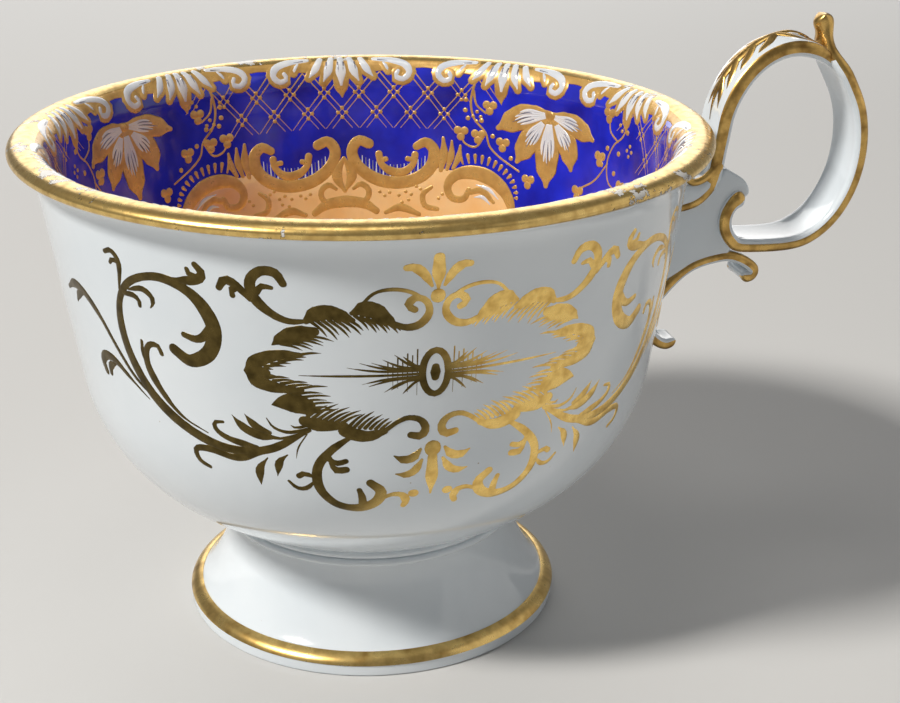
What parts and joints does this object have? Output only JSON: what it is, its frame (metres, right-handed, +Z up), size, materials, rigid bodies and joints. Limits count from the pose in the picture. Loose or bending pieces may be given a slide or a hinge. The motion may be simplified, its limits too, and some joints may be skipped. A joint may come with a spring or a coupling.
{
  "type": "footed cup",
  "caption": "Bell-shaped porcelain teacup on a spreading pedestal foot, with a scrolled loop handle, gilded rim and foot, and a cobalt and apricot inside.",
  "frame": {"origin": "on the bowl's axis, at the plane that the foot stands on", "axes": "+Z up along the bowl's axis, +X out to the handle, +Y to the left when seen from the handle's end"},
  "size_m": [0.1178, 0.0922, 0.0804],
  "materials": {
    "porcelain": "white glossy lead glaze",
    "cobalt_enamel": "glossy cobalt blue ground",
    "apricot_enamel": "apricot enamel ground",
    "gilding": "burnished gold, worn at the edges"
  },
  "bodies": {
    "root": {"bowl": "porcelain", "pedestal_foot": "porcelain", "handle_ring": "porcelain", "handle_strap": "porcelain", "handle_bracket": "porcelain", "handle_tail": "porcelain", "cobalt_ground": "cobalt_enamel", "apricot_ground": "apricot_enamel", "rim_gilding": "gilding", "foot_gilding": "gilding"}
  },
  "joints": []
}
